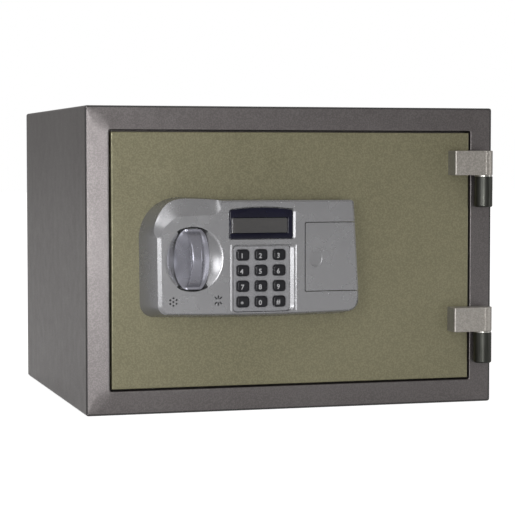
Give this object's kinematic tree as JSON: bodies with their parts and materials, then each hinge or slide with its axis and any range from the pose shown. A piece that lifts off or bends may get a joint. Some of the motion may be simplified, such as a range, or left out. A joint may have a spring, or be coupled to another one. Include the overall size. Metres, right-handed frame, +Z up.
{
  "type": "in room safe",
  "caption": "Small fire-resistant in-room safe with a right-hinged door, electronic keypad, turning bolt knob and sliding battery cover.",
  "frame": {"origin": "centre of the cabinet body's base, on the surface it stands on", "axes": "+X to the right seen from the front, +Y from the door into the cabinet, +Z up"},
  "size_m": [0.435, 0.41, 0.31],
  "materials": {
    "cabinet_paint": "satin",
    "door_paint": "satin",
    "interior_paint": "satin",
    "pan_paint": "satin",
    "fire_fill": "matte",
    "zinc_steel": "satin",
    "barrel_steel": "satin",
    "hinge_paint": "satin",
    "washer_metal": "satin",
    "bolt_chrome": "polished",
    "seal_rubber": "matte",
    "silver_plastic": "satin",
    "knob_plastic": "satin",
    "panel_plastic": "satin",
    "key_black": "satin",
    "bezel_black": "gloss",
    "display_glass": "gloss",
    "lcd_grey": "gloss",
    "board_green": "satin",
    "mat_rubber": "matte",
    "tray_plastic": "satin",
    "cell_wrap": "gloss",
    "coil_wrap": "satin",
    "cable_jacket": "satin"
  },
  "bodies": {
    "cabinet": {"outer_shell": "cabinet_paint", "back_panel": "cabinet_paint", "front_frame": "cabinet_paint", "inner_liner": "interior_paint", "cabinet_insulation": "fire_fill", "bolt_strikes": "zinc_steel", "dead_bar_pocket": "zinc_steel", "anchor_sleeves": "zinc_steel", "hinge_barrel_upper": "barrel_steel", "hinge_barrel_lower": "barrel_steel", "hinge_pins": "zinc_steel", "hinge_washers": "washer_metal"},
    "door": {"door_skin": "door_paint", "door_plug_pan": "pan_paint", "door_insulation": "fire_fill", "door_seal": "seal_rubber", "door_inner_cover": "pan_paint", "inner_cover_screws": "zinc_steel", "dead_bar": "zinc_steel", "hinge_leaf_upper": "hinge_paint", "hinge_leaf_lower": "hinge_paint", "spindle_bush": "washer_metal", "guide_studs": "zinc_steel", "solenoid_frame": "zinc_steel", "solenoid_coil": "coil_wrap", "lock_cable": "cable_jacket", "keypad_housing": "silver_plastic", "key_panel": "panel_plastic", "display_bezel": "bezel_black", "display_glass": "display_glass", "lcd_module": "lcd_grey", "circuit_board": "board_green", "key_mat": "mat_rubber", "battery_tray": "tray_plastic", "batteries": "cell_wrap", "battery_contacts": "zinc_steel", "piezo_sounders": "tray_plastic", "housing_screws": "zinc_steel"},
    "knob_drive": {"knob": "knob_plastic", "knob_spindle": "zinc_steel", "drive_cam": "zinc_steel", "spindle_nut": "zinc_steel"},
    "bolt_carriage": {"bolt_carriage": "zinc_steel", "live_bolts": "bolt_chrome", "bolt_nuts": "zinc_steel"},
    "lock_plunger": {"solenoid_plunger": "zinc_steel", "plunger_spring": "zinc_steel"},
    "battery_cover": {"battery_cover": "silver_plastic"},
    "key_1": {"key_1": "key_black"},
    "key_2": {"key_2": "key_black"},
    "key_3": {"key_3": "key_black"},
    "key_4": {"key_4": "key_black"},
    "key_5": {"key_5": "key_black"},
    "key_6": {"key_6": "key_black"},
    "key_7": {"key_7": "key_black"},
    "key_8": {"key_8": "key_black"},
    "key_9": {"key_9": "key_black"},
    "key_star": {"key_star": "key_black"},
    "key_0": {"key_0": "key_black"},
    "key_hash": {"key_hash": "key_black"}
  },
  "joints": [
    {"name": "door_swing", "type": "hinge", "parent": "cabinet", "child": "door", "pos_m": [0.2041, -0.1925, 0], "axis": [0, 0, 1], "range_deg": [0, 180]},
    {"name": "knob_turn", "type": "hinge", "parent": "door", "child": "knob_drive", "pos_m": [-0.1143, -0.1825, 0.157], "axis": [0, -1, 0], "range_deg": [0, 90]},
    {"name": "bolt_throw", "type": "slide", "parent": "door", "child": "bolt_carriage", "axis": [-1, 0, 0], "range_m": [0, 0.0198]},
    {"name": "plunger_drop", "type": "slide", "parent": "door", "child": "lock_plunger", "axis": [0, 0, -1], "range_m": [0, 0.006], "deforming": ["plunger_spring"]},
    {"name": "battery_cover_slide", "type": "slide", "parent": "door", "child": "battery_cover", "axis": [1, 0, 0], "range_m": [0, 0.06]},
    {"name": "press_1", "type": "slide", "parent": "door", "child": "key_1", "axis": [0, 1, 0], "range_m": [0, 0.0012], "stiffness_N_per_m": 800},
    {"name": "press_2", "type": "slide", "parent": "door", "child": "key_2", "axis": [0, 1, 0], "range_m": [0, 0.0012], "stiffness_N_per_m": 800},
    {"name": "press_3", "type": "slide", "parent": "door", "child": "key_3", "axis": [0, 1, 0], "range_m": [0, 0.0012], "stiffness_N_per_m": 800},
    {"name": "press_4", "type": "slide", "parent": "door", "child": "key_4", "axis": [0, 1, 0], "range_m": [0, 0.0012], "stiffness_N_per_m": 800},
    {"name": "press_5", "type": "slide", "parent": "door", "child": "key_5", "axis": [0, 1, 0], "range_m": [0, 0.0012], "stiffness_N_per_m": 800},
    {"name": "press_6", "type": "slide", "parent": "door", "child": "key_6", "axis": [0, 1, 0], "range_m": [0, 0.0012], "stiffness_N_per_m": 800},
    {"name": "press_7", "type": "slide", "parent": "door", "child": "key_7", "axis": [0, 1, 0], "range_m": [0, 0.0012], "stiffness_N_per_m": 800},
    {"name": "press_8", "type": "slide", "parent": "door", "child": "key_8", "axis": [0, 1, 0], "range_m": [0, 0.0012], "stiffness_N_per_m": 800},
    {"name": "press_9", "type": "slide", "parent": "door", "child": "key_9", "axis": [0, 1, 0], "range_m": [0, 0.0012], "stiffness_N_per_m": 800},
    {"name": "press_star", "type": "slide", "parent": "door", "child": "key_star", "axis": [0, 1, 0], "range_m": [0, 0.0012], "stiffness_N_per_m": 800},
    {"name": "press_0", "type": "slide", "parent": "door", "child": "key_0", "axis": [0, 1, 0], "range_m": [0, 0.0012], "stiffness_N_per_m": 800},
    {"name": "press_hash", "type": "slide", "parent": "door", "child": "key_hash", "axis": [0, 1, 0], "range_m": [0, 0.0012], "stiffness_N_per_m": 800}
  ],
  "couplings": [
    {"joint": "knob_turn", "follows": "bolt_throw", "rad_per_m": 79.33},
    {"joint": "plunger_drop", "follows": "bolt_throw", "ratio": 0.303}
  ]
}
